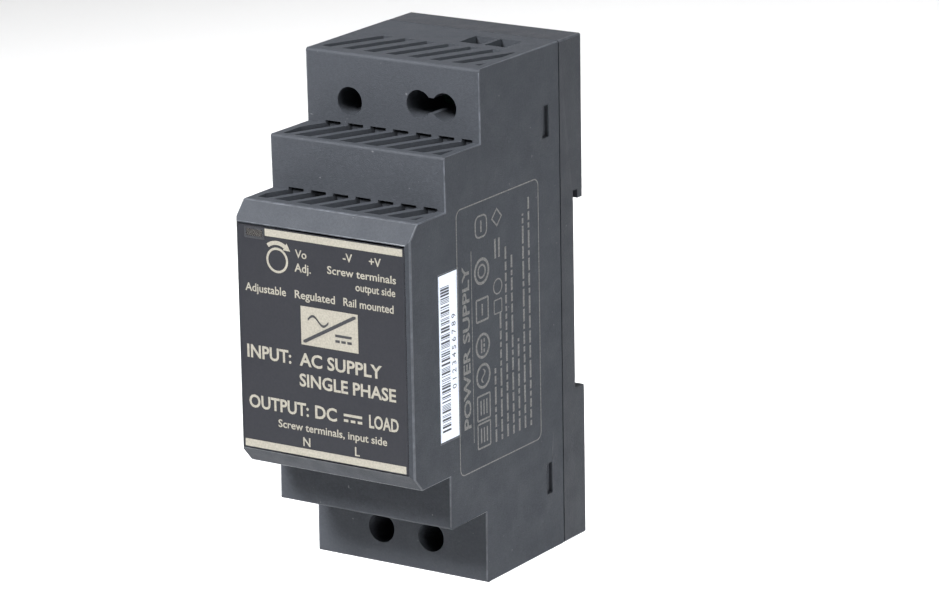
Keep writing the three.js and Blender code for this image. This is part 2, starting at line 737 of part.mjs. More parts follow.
// A can with a rolled groove near its foot and a rounded crown.
function electrolytic(at, diameter, height) {
  const r = diameter / 2;
  const foot = ON_BOARD;
  const top = ON_BOARD - height;
  return turnedY(at, [
    [0, top + 0.3],
    [r - 1.6, top + 0.3],
    [r - 1.4, top],
    [r - 0.6, top],
    [r, top + 0.6],
    [r, foot - 2.8],
    [r - 0.5, foot - 2.2],
    [r, foot - 1.6],
    [r, foot - 0.5],
    [r - 0.4, foot],
    [0, foot],
  ]);
}

// A standing plate with one edge folded back for stiffness.
function foldedHeatsink(x, topY, z, foldX) {
  const y = [topY, ON_BOARD];
  const foldDepth = 3 * (z[1] - z[0]);
  return join(box(x, y, z), box(foldX, y, [z[0], z[0] + foldDepth]));
}

// A flat power package: moulded body over three legs.
function powerPackage(x, z, topY, legPitch) {
  const centreX = (x[0] + x[1]) / 2;
  const centreZ = (z[0] + z[1]) / 2;
  const bodyY = [topY, ON_BOARD - 3.4];
  const legs = [-legPitch, 0, legPitch].map((offset) =>
    box(around(centreX + offset, 0.9), [bodyY[1] - 0.5, ON_BOARD], around(centreZ, 0.6)),
  );
  return join(box(x, bodyY, z), ...legs);
}

// A dipped disc standing on edge on two legs, its middle at the given height.
function disc(at, diameter, thickness, middleY) {
  const body = new THREE.CylinderGeometry(diameter / 2, diameter / 2, thickness, 40);
  body.rotateX(Math.PI / 2).translate(at[0], middleY, at[1]);
  const legs = [-1, 1].map((side) =>
    box(around(at[0] + side * diameter * 0.3, 0.7), [middleY, ON_BOARD], around(at[1], 0.7)),
  );
  return join(solid(body), ...legs);
}

// The choke: a closed ferrite frame with a coil on each upright leg.
const CHOKE = { x: 8.6, z: -12.6, width: 11.4, frame: 3, rearY: -8, frontY: -23, depth: 5 };
const COIL = { sideX: 0.9, sideZ: 1.6, gap: 0.15 };

function chokeCore() {
  const y = [CHOKE.frontY, CHOKE.rearY];
  const z = around(CHOKE.z, CHOKE.depth);
  const opening = box(
    around(CHOKE.x, CHOKE.width - 2 * CHOKE.frame),
    [CHOKE.frontY + CHOKE.frame, CHOKE.rearY - CHOKE.frame],
    around(CHOKE.z, CHOKE.depth + 2),
  );
  return cut(box(around(CHOKE.x, CHOKE.width), y, z), opening);
}

function chokeCoil(side) {
  const x = CHOKE.x + (side * (CHOKE.width - CHOKE.frame)) / 2;
  const y = [CHOKE.frontY + CHOKE.frame + 0.5, CHOKE.rearY - CHOKE.frame - 0.5];
  const hole = { width: CHOKE.frame + 2 * COIL.gap, height: CHOKE.depth + 2 * COIL.gap };
  const shape = roundedRect(hole.width + 2 * COIL.sideX, hole.height + 2 * COIL.sideZ, 1);
  shape.holes.push(roundedRect(hole.width, hole.height, 0.3));
  return alongY(shape, y, [x, CHOKE.z]);
}

const board = addGroup("board_components");
const component = (name, body, material) => addNode(name, body, material, board);

component("bulk_capacitor", electrolytic([-6.8, -12.6], 16, 31), MATERIAL.sleeve);
component("output_capacitor_1", electrolytic([-9.5, 25.6], 9.6, 20), MATERIAL.sleeve);
component("output_capacitor_2", electrolytic([0.9, 25.6], 9.6, 20), MATERIAL.sleeve);
component("choke_core", chokeCore(), MATERIAL.ferrite);
component("choke_coil_1", chokeCoil(-1), MATERIAL.copper);
component("choke_coil_2", chokeCoil(1), MATERIAL.copper);
component(
  "output_inductor",
  turnedY([10.9, 25.6], [
    [0, ON_BOARD - 10.5],
    [4, ON_BOARD - 10.5],
    [4, ON_BOARD - 9],
    [3.4, ON_BOARD - 8.6],
    [3.4, ON_BOARD - 1.9],
    [4, ON_BOARD - 1.5],
    [4, ON_BOARD],
    [0, ON_BOARD],
  ]),
  MATERIAL.ferrite,
);
const primaryHeatsink = foldedHeatsink([-14.6, 13.6], -29, [-22.6, -21.4], [12.4, 13.6]);
component("primary_heatsink", primaryHeatsink, MATERIAL.aluminium);
const switchingPackage = powerPackage([-13.6, -3.6], [-27.2, -22.8], -25.5, 2.54);
component("switching_transistor", switchingPackage, MATERIAL.black);
const bridgePackage = powerPackage([-1.6, 10.4], [-26.6, -22.8], -21, 3.8);
component("bridge_rectifier", bridgePackage, MATERIAL.black);
const secondaryHeatsink = box([-10.6, 13.6], [-28, ON_BOARD], [18.9, 20.1]);
component("secondary_heatsink", secondaryHeatsink, MATERIAL.aluminium);
const rectifierPackage = powerPackage([-3, 7], [14.9, 18.7], -24.5, 2.54);
component("output_rectifier", rectifierPackage, MATERIAL.black);
component("x_capacitor", box([-1.5, 14], [-18.6, ON_BOARD], [-33.4, -28.4]), MATERIAL.yellow);
const fuseBody = alongY(roundedRect(8.5, 4.2, 0.8), [-14.4, ON_BOARD], [-9.6, -30.9]);
component("fuse", fuseBody, MATERIAL.black);
component("thermistor", disc([-11.6, -38.4], 6.6, 3.6, -12.4), MATERIAL.ferrite);
component("varistor", disc([12.3, -38.4], 5.6, 3.4, -12), MATERIAL.blue);
component("y_capacitor", disc([12.1, -1.2], 5.6, 3, -12), MATERIAL.blue);
component("optocoupler", box([9.6, 14.2], [-10, ON_BOARD], [10.6, 15.2]), MATERIAL.black);
component("controller_ic", box([-14.4, -10.4], [-8, ON_BOARD], [10.4, 15.4]), MATERIAL.black);

export default part;
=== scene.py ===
"""Visual model of a two-module power supply for a 35 mm mounting rail.

Everything is in metres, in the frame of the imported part: +X right seen from the front, +Y back
towards the rail, +Z up, origin in the middle of the rail seat.
"""

import math
import random

import bmesh
import bpy
from mathutils import Matrix, Vector


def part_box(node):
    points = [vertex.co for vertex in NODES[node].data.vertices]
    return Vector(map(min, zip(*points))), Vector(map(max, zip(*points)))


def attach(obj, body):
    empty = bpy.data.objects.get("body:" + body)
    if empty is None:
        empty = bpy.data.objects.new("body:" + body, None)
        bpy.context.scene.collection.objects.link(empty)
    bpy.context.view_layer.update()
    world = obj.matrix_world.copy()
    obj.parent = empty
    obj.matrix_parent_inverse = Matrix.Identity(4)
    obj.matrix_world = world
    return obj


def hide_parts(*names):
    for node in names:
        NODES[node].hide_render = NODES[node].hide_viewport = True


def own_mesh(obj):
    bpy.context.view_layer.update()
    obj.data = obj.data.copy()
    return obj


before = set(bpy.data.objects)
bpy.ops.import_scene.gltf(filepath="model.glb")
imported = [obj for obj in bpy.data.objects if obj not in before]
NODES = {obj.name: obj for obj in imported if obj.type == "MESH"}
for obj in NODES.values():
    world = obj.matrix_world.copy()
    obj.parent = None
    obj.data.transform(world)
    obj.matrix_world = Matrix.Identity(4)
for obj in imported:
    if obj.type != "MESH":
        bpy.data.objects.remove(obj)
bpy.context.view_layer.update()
MM = 0.001

# ---------------------------------------------------------------- camera

FRAME_WIDTH_PX = 940
SENSOR_MM = 36
FOCAL_PX = 4729
VIEW = {"azimuth": 33.18, "elevation": 15.71, "roll": 1.02, "distance": 0.8109}
AIM = Vector((0, -0.022, 0))
AIM_SHIFT = (0.0085, -0.00175)  # the camera's own offset from the aim point, right and down
NEAR_CLIP = 0.01


def add_camera():
    az, el, roll = (math.radians(VIEW[k]) for k in ("azimuth", "elevation", "roll"))
    forward = Vector((-math.sin(az) * math.cos(el), math.cos(az) * math.cos(el), -math.sin(el)))
    level_right = Vector((math.cos(az), math.sin(az), 0))
    level_down = forward.cross(level_right)
    right = math.cos(roll) * level_right + math.sin(roll) * level_down
    down = -math.sin(roll) * level_right + math.cos(roll) * level_down
    place = AIM + AIM_SHIFT[0] * right + AIM_SHIFT[1] * down - VIEW["distance"] * forward
    data = bpy.data.cameras.new("camera")
    data.sensor_width = SENSOR_MM
    data.lens = SENSOR_MM * FOCAL_PX / FRAME_WIDTH_PX
    data.clip_start = NEAR_CLIP
    camera = bpy.data.objects.new("camera", data)
    rotation = Matrix((right, -down, -forward)).transposed().to_4x4()
    camera.matrix_world = Matrix.Translation(place) @ rotation
    bpy.context.scene.collection.objects.link(camera)
    bpy.context.scene.camera = camera


add_camera()

# ---------------------------------------------------------------- materials

MIDDLE = (0.3, 0.7)  # the part of a noise's range that a ramp spreads out
WAVE_BANDS = 3.18  # bands a metre that the wave texture draws at scale 1


class Shader:
    """A material with short calls for the nodes that the materials below share."""

    def __init__(self, name, color, roughness, metallic=0.0):
        self.material = bpy.data.materials.new(name)
        self.material.use_nodes = True
        self.tree = self.material.node_tree
        self.bsdf = self.tree.nodes["Principled BSDF"]
        self.bsdf.inputs["Base Color"].default_value = (*color, 1)
        self.bsdf.inputs["Roughness"].default_value = roughness
        self.bsdf.inputs["Metallic"].default_value = metallic
        self.position = self.tree.nodes.new("ShaderNodeTexCoord").outputs["Object"]

    def link(self, source, target):
        self.tree.links.new(source, target)

    def noise(self, size, detail=2.0, stretch=None):
        """Noise whose blobs are about size metres across."""
        node = self.tree.nodes.new("ShaderNodeTexNoise")
        node.inputs["Scale"].default_value = 1 / size
        node.inputs["Detail"].default_value = detail
        source = self.position
        if stretch:
            mapping = self.tree.nodes.new("ShaderNodeMapping")
            mapping.inputs["Scale"].default_value = stretch
            self.link(source, mapping.inputs["Vector"])
            source = mapping.outputs["Vector"]
        self.link(source, node.inputs["Vector"])
        return node.outputs["Fac"]

    def cells(self, size):
        node = self.tree.nodes.new("ShaderNodeTexVoronoi")
        node.inputs["Scale"].default_value = 1 / size
        self.link(self.position, node.inputs["Vector"])
        return node.outputs["Distance"]

    def ramp(self, source, low, high, start=0.0, end=1.0):
        """Maps source from start..end to low..high, clamped."""
        node = self.tree.nodes.new("ShaderNodeMapRange")
        self.link(source, node.inputs["Value"])
        limits = {"From Min": start, "From Max": end, "To Min": low, "To Max": high}
        for socket, value in limits.items():
            node.inputs[socket].default_value = value
        return node.outputs["Result"]

    def mix(self, factor, first, second):
        """A colour between first and second; each is a colour or a socket."""
        node = self.tree.nodes.new("ShaderNodeMix")
        node.data_type = "RGBA"
        self.link(factor, node.inputs["Factor"])
        for letter, value in (("A", first), ("B", second)):
            socket = [s for s in node.inputs if s.name == letter and s.type == "RGBA"][0]
            if isinstance(value, tuple):
                socket.default_value = (*value, 1)
            else:
                self.link(value, socket)
        return [s for s in node.outputs if s.type == "RGBA"][0]

    def color(self, source):
        self.link(source, self.bsdf.inputs["Base Color"])

    def roughness(self, source):
        self.link(source, self.bsdf.inputs["Roughness"])

    def patchy_roughness(self, size, detail, low, high, band=MIDDLE):
        """Roughness from low to high, in patches about size metres across."""
        self.roughness(self.ramp(self.noise(size, detail), low, high, *band))

    def bump(self, *layers):
        """Bump layers, each (height socket, depth in metres), added one on the other."""
        normal = None
        for height, depth in layers:
            node = self.tree.nodes.new("ShaderNodeBump")
            node.inputs["Distance"].default_value = depth
            self.link(height, node.inputs["Height"])
            if normal:
                self.link(normal, node.inputs["Normal"])
            normal = node.outputs["Normal"]
        self.link(normal, self.bsdf.inputs["Normal"])


def scaled(color, factor):
    return tuple(min(1.0, c * factor) for c in color)


MATT_SPECULAR = 0.15
DUST = (0.25, 0.25, 0.26)


def moulded_plastic(name, color, roughness=0.6, grain=0.00028, depth=0.00004, contrast=0.12):
    """Spark-eroded mould texture, faint flow clouds, roughness patches and a few dust specks."""
    s = Shader(name, color, roughness)
    s.bsdf.inputs["Specular IOR Level"].default_value = MATT_SPECULAR
    clouds = s.noise(0.011, 3)
    speckle = s.noise(grain * 1.6, 2)
    tone = s.mix(clouds, scaled(color, 1 - contrast), scaled(color, 1 + contrast))
    grained = s.mix(s.ramp(speckle, 0, 0.5, 0.35, 0.72), tone, scaled(color, 1.35))
    dust = s.ramp(s.noise(0.0009, 1), 0, 0.35, 0.79, 0.83)
    s.color(s.mix(dust, grained, DUST))
    s.patchy_roughness(0.004, 4, roughness - 0.07, roughness + 0.1)
    pits = (s.cells(grain), depth * 0.6)
    fine = (s.noise(grain * 0.7, 3), depth)
    waves = (s.noise(0.004, 2), depth * 2)
    s.bump(pits, fine, waves)
    return s.material


def worn_and_highlit_edge(name, color, roughness=0.42):
    """The lighter, smoother line along handled corners: partly wear, partly a painted highlight
    where the edges catch the light.
    """
    s = Shader(name, color, roughness)
    wear_and_highlight = s.ramp(s.noise(0.0012, 4), 0, 1, 0.35, 0.68)
    # the edge colour is 1.2 to 2.1 times the plastic's: partly wear, partly painted highlight
    s.color(s.mix(wear_and_highlight, scaled(color, 1.2), scaled(color, 2.1)))
    s.patchy_roughness(0.0008, 2, roughness - 0.08, roughness + 0.1)
    s.bump((s.noise(0.0003, 3), 0.00002))
    return s.material


def film(name, color, roughness=0.38):
    """Printed polyester film with a very fine orange-peel surface."""
    s = Shader(name, color, roughness)
    s.bsdf.inputs["Specular IOR Level"].default_value = MATT_SPECULAR
    s.color(s.mix(s.noise(0.0004, 3), scaled(color, 0.86), scaled(color, 1.18)))
    s.patchy_roughness(0.006, 3, roughness - 0.05, roughness + 0.09)
    s.bump((s.noise(0.00035, 2), 0.00001), (s.noise(0.005, 1), 0.00003))
    return s.material


def ink(name, color, roughness=0.5, worn=0.75):
    """Screen-printed ink, a little uneven in its cover."""
    s = Shader(name, color, roughness)
    thin = s.ramp(s.noise(0.00035, 3), 0, 1, 0.4, 0.62)
    s.color(s.mix(thin, scaled(color, worn), scaled(color, 1.08)))
    s.patchy_roughness(0.001, 2, roughness - 0.05, roughness + 0.08)
    s.bump((s.noise(0.0002, 2), 0.000008))
    return s.material


def metal(name, color, roughness, brushed=None):
    """Plated or milled metal; brushed stretches its grain along one axis."""
    s = Shader(name, color, roughness, metallic=1.0)
    grain = s.noise(0.0006, 4, stretch=brushed)
    s.color(s.mix(s.noise(0.002, 3), scaled(color, 0.84), scaled(color, 1.08)))
    s.roughness(s.ramp(grain, roughness - 0.1, roughness + 0.14, *MIDDLE))
    s.bump((grain, 0.000012), (s.noise(0.0002, 2), 0.000006))
    return s.material


def glossy(name, color, roughness=0.25, coat=0.0, dimple=0.0006):
    """Moulded epoxy, lacquer, sleeve and enamel."""
    s = Shader(name, color, roughness)
    s.bsdf.inputs["Coat Weight"].default_value = coat
    s.color(s.mix(s.noise(0.003, 3), scaled(color, 0.85), scaled(color, 1.15)))
    s.patchy_roughness(0.0015, 3, roughness - 0.06, roughness + 0.12)
    s.bump((s.noise(dimple, 3), 0.00002))
    return s.material


def clear_plastic(name, tint, roughness=0.08):
    """Tinted acrylic."""
    s = Shader(name, tint, roughness)
    s.bsdf.inputs["Transmission Weight"].default_value = 0.9
    s.bsdf.inputs["IOR"].default_value = 1.49
    s.patchy_roughness(0.001, 3, roughness, roughness + 0.14, band=(0.35, 0.75))
    s.bump((s.noise(0.0006, 2), 0.000006))
    return s.material


def wound_wire(name, color, pitch):
    """Enamelled turns lying side by side across Y, with painted shade in the grooves between
    turns.
    """
    s = Shader(name, color, 0.28)
    wave = s.tree.nodes.new("ShaderNodeTexWave")
    wave.bands_direction = "Y"
    wave.inputs["Scale"].default_value = 1 / (pitch * WAVE_BANDS)
    s.link(s.position, wave.inputs["Vector"])
    s.bsdf.inputs["Coat Weight"].default_value = 0.5
    # the wave darkens the grooves between turns to 0.45 of the copper colour: painted shade
    s.color(s.mix(wave.outputs["Fac"], scaled(color, 0.45), scaled(color, 1.15)))
    s.patchy_roughness(0.002, 2, 0.22, 0.4)
    s.bump((wave.outputs["Fac"], pitch * 0.5), (s.noise(0.0005, 2), 0.00002))
    return s.material


def fibreglass_board(name):
    """Solder resist over woven glass: crossed threads, tracks showing as a faint relief."""
    color = (0.02, 0.12, 0.045)
    s = Shader(name, color, 0.3)
    weave_x = s.noise(0.0005, 1, stretch=(1, 1, 0.08))
    weave_z = s.noise(0.0005, 1, stretch=(0.08, 1, 1))
    tracks = s.ramp(s.cells(0.006), 0, 1, 0.35, 0.4)
    s.bsdf.inputs["Coat Weight"].default_value = 0.4
    s.color(s.mix(tracks, scaled(color, 1.35), color))
    s.patchy_roughness(0.002, 3, 0.24, 0.42)
    s.bump((weave_x, 0.00003), (weave_z, 0.00003), (tracks, 0.00003))
    return s.material


SLATE = (0.038, 0.041, 0.047)
SLATE_BASE = (0.036, 0.038, 0.043)
M = {
    "housing": moulded_plastic("housing_plastic", SLATE),
    "housing_edge": worn_and_highlit_edge("housing_rubbed_edge", SLATE),
    "base": moulded_plastic("base_plastic", SLATE_BASE, roughness=0.52),
    "base_edge": worn_and_highlit_edge("base_rubbed_edge", SLATE_BASE),
    "latch": moulded_plastic("latch_plastic", (0.02, 0.021, 0.024), roughness=0.42, contrast=0.2),
    "latch_edge": worn_and_highlit_edge("latch_rubbed_edge", (0.024, 0.025, 0.028)),
    "label": film("label_film", (0.02, 0.0205, 0.024)),
    "beige": ink("beige_ink", (0.25, 0.232, 0.19), worn=0.88),
    "side_ink": ink("side_ink", (0.15, 0.147, 0.137), worn=0.6),
    "label_dark": ink("label_dark_ink", (0.02, 0.0205, 0.024)),
    "paper": ink("sticker_paper", (0.72, 0.76, 0.86), roughness=0.42, worn=0.95),
    "black_ink": ink("barcode_ink", (0.03, 0.03, 0.035), worn=1.3),
    "window": clear_plastic("window_plastic", (0.3, 0.28, 0.26)),
    "steel": metal("zinc_plated_steel", (0.62, 0.62, 0.6), 0.3),
    "spring": metal("spring_wire", (0.5, 0.5, 0.5), 0.25),
    "brass": metal("tinned_brass", (0.68, 0.58, 0.4), 0.32),
    "aluminium": metal("mill_aluminium", (0.72, 0.73, 0.74), 0.36, brushed=(1, 0.06, 1)),
    "terminal": glossy("terminal_nylon", (0.03, 0.16, 0.09), 0.42),
    "component": glossy("moulded_epoxy", (0.022, 0.022, 0.024), 0.48),
    "sleeve": glossy("capacitor_sleeve", (0.016, 0.022, 0.06), 0.24, coat=0.3),
    "ferrite": glossy("sintered_ferrite", (0.035, 0.033, 0.031), 0.55, dimple=0.0003),
    "copper": wound_wire("enamelled_copper", (0.5, 0.17, 0.05), 0.0004),
    "tape": glossy("polyester_tape", (0.65, 0.42, 0.05), 0.22, coat=0.2),
    "blue": glossy("blue_epoxy", (0.02, 0.12, 0.36), 0.3, coat=0.3),
    "white": glossy("white_nylon", (0.7, 0.7, 0.66), 0.4),
    "board": fibreglass_board("circuit_board"),
}

# ---------------------------------------------------------------- mesh helpers

SHARP = math.radians(28)
FLAT = math.radians(0.4)  # faces that differ by less are one flat face
TOUCH = 1e-5


def new_piece(name, mesh, body, materials):
    piece = bpy.data.objects.new(name, mesh)
    bpy.context.scene.collection.objects.link(piece)
    for material in materials:
        mesh.materials.append(material)
    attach(piece, body)
    return piece


def use_material(node, material):
    """Gives a carried-over CAD node one material."""
    NODES[node].data.materials.clear()
    NODES[node].data.materials.append(M[material])


def weighted(piece):
    modifier = piece.modifiers.new("even_normals", "WEIGHTED_NORMAL")
    modifier.keep_sharp = True


def bare_mesh(node):
    """The node's solid with its flat faces made whole."""
    bm = bmesh.new()
    bm.from_mesh(NODES[node].data)
    bmesh.ops.remove_doubles(bm, verts=bm.verts, dist=1e-6)
    bmesh.ops.dissolve_limit(
        bm, angle_limit=FLAT, verts=bm.verts, edges=bm.edges, use_dissolve_boundaries=False,
    )
    bmesh.ops.recalc_face_normals(bm, faces=bm.faces)
    return bm


def sharp_edges(bm, accept):
    found = []
    for edge in bm.edges:
        if len(edge.link_faces) == 2 and edge.calc_face_angle(0) > SHARP and accept(edge):
            found.append(edge)
    return found


# the second material is lighter than the body: partly wear, partly a painted highlight along the
# edges
EDGE_MATERIAL = 1  # the rounded strips take the piece's second material


def round_edges(bm, edges, width):
    bmesh.ops.bevel(
        bm, geom=edges, offset=width, offset_type="OFFSET", segments=3, profile=0.5,
        affect="EDGES", clamp_overlap=False, material=EDGE_MATERIAL, loop_slide=True,
    )


def to_mesh(bm, name):
    for face in bm.faces:
        face.smooth = True
    mesh = bpy.data.meshes.new(name)
    bm.to_mesh(mesh)
    bm.free()
    mesh.set_sharp_from_angle(angle=SHARP)
    return mesh


def width_of(edge):
    """How far an edge reaches along X."""
    return abs(edge.verts[0].co.x - edge.verts[1].co.x)


def middle(edge):
    return (edge.verts[0].co + edge.verts[1].co) / 2


# ---------------------------------------------------------------- housing

HOUSING_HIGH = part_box("front_housing")[1]
OUTER_ROUND = 0.24 * MM
OUTLINE_LENGTH = 2.5 * MM  # shorter edges stay sharp
SIDE_STRIP = 0.8 * MM
RIGHT_ACROSS = 30 * MM


def on_outline(edge):
    """True on the housing's long outer corners, along its sides and right across its front."""
    at = middle(edge)
    long_enough = edge.calc_length() > OUTLINE_LENGTH
    ahead_of_seam = at.y < HOUSING_HIGH.y - TOUCH
    side = abs(at.x) > HOUSING_HIGH.x - SIDE_STRIP
    across = width_of(edge) > RIGHT_ACROSS
    return edge.is_convex and ahead_of_seam and long_enough and (side or across)


def make_housing():
    bm = bare_mesh("front_housing")
    round_edges(bm, sharp_edges(bm, on_outline), OUTER_ROUND)
    mesh = to_mesh(bm, "housing_shell")
    piece = new_piece("housing_shell", mesh, "case", [M["housing"], M["housing_edge"]])
    weighted(piece)
    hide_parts("front_housing")


make_housing()

# ---------------------------------------------------------------- printed marks

PRINT_THICKNESS = 0.02 * MM
# how far the middle of each print stands off the face below it
LABEL_LIFT = 0.012 * MM
RIM_LIFT = 0.02 * MM
SYMBOL_LIFT = 0.024 * MM
SIDE_LIFT = 0.014 * MM
STICKER_LIFT = 0.012 * MM
SMALLEST_CORNER = 0.05


class Print:
    """Flat marks gathered on one plane, in millimetres from the plane's own corner."""

    def __init__(self, origin, along, up):
        self.bm = bmesh.new()
        self.origin = origin
        self.along = along
        self.up = up

    def point(self, u, v):
        return self.bm.verts.new(self.origin + self.along * u * MM + self.up * v * MM)

    def face(self, points):
        self.bm.faces.new([self.point(u, v) for u, v in points])

    def bar(self, u0, u1, v0, v1):
        self.face([(u0, v0), (u1, v0), (u1, v1), (u0, v1)])

    def band(self, outer, inner):
        """The strip between two closed outlines with equally many points."""
        count = len(outer)
        for i in range(count):
            j = (i + 1) % count
            self.face([outer[i], outer[j], inner[j], inner[i]])

    def arc(self, centre, radius, width, start, end, steps=32):
        for i in range(steps):
            a, b = (math.radians(start + (end - start) * k / steps) for k in (i, i + 1))
            outer, inner = radius + width / 2, radius - width / 2
            ring = []
            for angle, r in ((a, outer), (b, outer), (b, inner), (a, inner)):
                ring.append((centre[0] + r * math.cos(angle), centre[1] + r * math.sin(angle)))
            self.face(ring)

    def arrow_head(self, centre, radius, angle, width, length):
        """A triangle that ends an arc clockwise, its base across the arc at the given angle."""
        a = math.radians(angle)
        outward = (math.cos(a), math.sin(a))
        onward = (math.sin(a), -math.cos(a))
        points = []
        for out, on in ((radius + width / 2, 0), (radius, length), (radius - width / 2, 0)):
            points.append(tuple(centre[i] + out * outward[i] + on * onward[i] for i in (0, 1)))
        self.face(points)

    def frame_box(self, u0, u1, v0, v1, radius, line):
        """A rounded frame whose line runs inside the given size."""
        corner = max(radius - line, SMALLEST_CORNER)
        self.band(
            rounded_outline(u0, u1, v0, v1, radius),
            rounded_outline(u0 + line, u1 - line, v0 + line, v1 - line, corner),
        )

    def wave(self, centre, length, rise, line, steps=20):
        """One period of a sine, drawn with a pen of the given height."""
        points = []
        for k in range(steps + 1):
            u = centre[0] + length * (k / steps - 0.5)
            points.append((u, centre[1] + rise * math.sin(2 * math.pi * k / steps)))
        half = line / 2
        for (ua, va), (ub, vb) in zip(points, points[1:]):
            self.face([(ua, va - half), (ub, vb - half), (ub, vb + half), (ua, va + half)])

    def direct_current(self, u, v, length, line, drop, dash, pitch):
        """A bar over three dashes; v is the foot of the bar, drop the step down to the dashes'."""
        self.bar(u, u + length, v, v + line)
        for k in range(3):
            start = u + pitch * k
            self.bar(start, start + dash, v - drop, v - drop + line)

    def text(self, words, u, v, height, width=None, bold=0.0):
        """Words whose capitals are height tall, squeezed to width when it is given."""
        points, polygons = letter_shapes(words, bold)
        left = min(x for x, y in points)
        right = max(x for x, y in points)
        scale_v = height / CAPITAL_HEIGHT
        scale_u = scale_v if width is None else width / (right - left)
        verts = [self.point(u + (x - left) * scale_u, v + y * scale_v) for x, y in points]
        for polygon in polygons:
            self.bm.faces.new([verts[i] for i in polygon])

    def piece(self, name, material, slot):
        mesh = bpy.data.meshes.new(name)
        bmesh.ops.recalc_face_normals(self.bm, faces=self.bm.faces)
        self.bm.to_mesh(mesh)
        self.bm.free()
        made = new_piece(name, mesh, "case", [material])
        solidify = made.modifiers.new("thickness", "SOLIDIFY")
        solidify.thickness = PRINT_THICKNESS
        solidify.offset = 0


def letter_shapes(words, bold=0.0):
    """Points and polygons of words in the built-in font at size 1."""
    curve = bpy.data.curves.new("lettering", "FONT")
    curve.body = words
    curve.size = 1.0
    curve.offset = bold
    curve.resolution_u = 3
    holder = bpy.data.objects.new("lettering", curve)
    mesh = bpy.data.meshes.new_from_object(holder)
    points = [(vertex.co.x, vertex.co.y) for vertex in mesh.vertices]
    polygons = [list(polygon.vertices) for polygon in mesh.polygons]
    bpy.data.objects.remove(holder)
    bpy.data.curves.remove(curve)
    bpy.data.meshes.remove(mesh)
    return points, polygons


CAPITAL_HEIGHT = max(y for x, y in letter_shapes("H")[0])
SMALL_BOLD = 0.012
LARGE_BOLD = 0.022


def rounded_outline(u0, u1, v0, v1, radius, steps=6):
    points = []
    corners = (
        (u1 - radius, v1 - radius, 0),
        (u0 + radius, v1 - radius, 90),
        (u0 + radius, v0 + radius, 180),
        (u1 - radius, v0 + radius, 270),
    )
    for cu, cv, start in corners:
        for k in range(steps + 1):
            angle = math.radians(start + 90 * k / steps)
            points.append((cu + radius * math.cos(angle), cv + radius * math.sin(angle)))
    return points


def make_label():
    """The front label: bars, function words and a plate with the converter symbol."""
    use_material("front_label", "label")
    plane = Vector((0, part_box("front_label")[0].y - LABEL_LIFT, 0))
    right, up = Vector((1, 0, 0)), Vector((0, 0, 1))
    page = Print(plane, right, up)
    page.bar(-11.2, 16.35, 17.95, 19.2)
    page.bar(-16.45, 16.25, -19.45, -18.15)
    # output trimmer: a knob ring under a turning arrow
    page.arc((-8.8, 14.0), 2.0, 0.4, 0, 360, 48)
    page.arc((-8.8, 14.0), 3.0, 0.7, 58, 128, 20)
    page.arrow_head((-8.8, 14.0), 3.0, 58, 1.5, 1.3)
    page.text("Vo", -5.1, 15.0, 1.35, bold=SMALL_BOLD)
    page.text("Adj.", -5.3, 12.6, 1.4, bold=SMALL_BOLD)
    page.text("-V", 4.5, 15.6, 1.4, bold=SMALL_BOLD)
    page.text("+V", 9.7, 15.6, 1.4, bold=SMALL_BOLD)
    page.text("Screw terminals", 1.3, 13.1, 1.3, width=13.7, bold=SMALL_BOLD)
    page.text("output side", 6.9, 10.9, 1.3, width=7.9, bold=SMALL_BOLD)
    page.text("Adjustable", -15.5, 8.0, 1.35, width=8.3, bold=SMALL_BOLD)
    page.text("Regulated", -5.4, 8.0, 1.35, width=8.1, bold=SMALL_BOLD)
    page.text("Rail mounted", 4.4, 8.0, 1.35, width=10.0, bold=SMALL_BOLD)
    page.text("INPUT:", -15.5, -3.6, 2.15, width=9.0, bold=LARGE_BOLD)
    page.text("AC SUPPLY", -4.8, -3.6, 2.15, width=16.6, bold=LARGE_BOLD)
    page.text("SINGLE PHASE", -4.9, -7.2, 2.1, width=19.4, bold=LARGE_BOLD)
    page.text("OUTPUT:", -15.4, -12.4, 2.15, width=12.2, bold=LARGE_BOLD)
    page.text("DC", -1.9, -12.4, 2.15, width=4.4, bold=LARGE_BOLD)
    page.direct_current(3.9, -11.2, length=3.7, line=0.45, drop=0.95, dash=0.9, pitch=1.4)
    page.text("LOAD", 9.0, -12.4, 2.15, width=5.9, bold=LARGE_BOLD)
    page.text("Screw terminals, input side", -9.5, -15.1, 1.3, width=22, bold=SMALL_BOLD)
    page.text("N", -4.5, -17.7, 1.5, bold=SMALL_BOLD)
    page.text("L", 6.0, -17.8, 1.5, bold=SMALL_BOLD)
    # plate with the general symbol for a converter
    page.bar(-4.3, 7.2, 0.1, 6.8)
    page.piece("label_print", M["beige"], "label")

    edge = Print(plane - Vector((0, RIM_LIFT, 0)), right, up)
    window_low, window_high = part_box("led_window")
    u0, u1, v0, v1 = (c / MM for c in (window_low.x, window_high.x, window_low.z, window_high.z))
    rim, lap = 0.3, 0.12
    edge.band(
        rounded_outline(u0 - lap, u1 + lap, v0 - lap, v1 + lap, 0.25),
        rounded_outline(u0 + rim, u1 - rim, v0 + rim, v1 - rim, 0.15),
    )
    edge.piece("window_rim", M["label_dark"], "label")

    plate = Print(plane - Vector((0, SYMBOL_LIFT, 0)), right, up)
    plate.face([(-3.9, 0.5), (-3.4, 0.5), (6.8, 6.0), (6.8, 6.4), (6.3, 6.4), (-3.9, 0.9)])
    plate.wave((-0.8, 4.55), 4.2, 0.75, 0.44)
    plate.direct_current(2.6, 2.35, length=3.3, line=0.45, drop=0.95, dash=0.9, pitch=1.2)
    plate.piece("converter_symbol", M["label_dark"], "label")


FINE_PRINT = {
    "rows": (13.5, 22.5, 34.0, 32.0, 16.5, 38.0, 40.5),  # lengths, from the front row back
    "start": -20.6,
    "first": 25.5,
    "pitch": 1.85,
    "stroke": 0.5,
    "space": 0.45,
    "words": (0.9, 1.5, 2.2, 3.1),
}


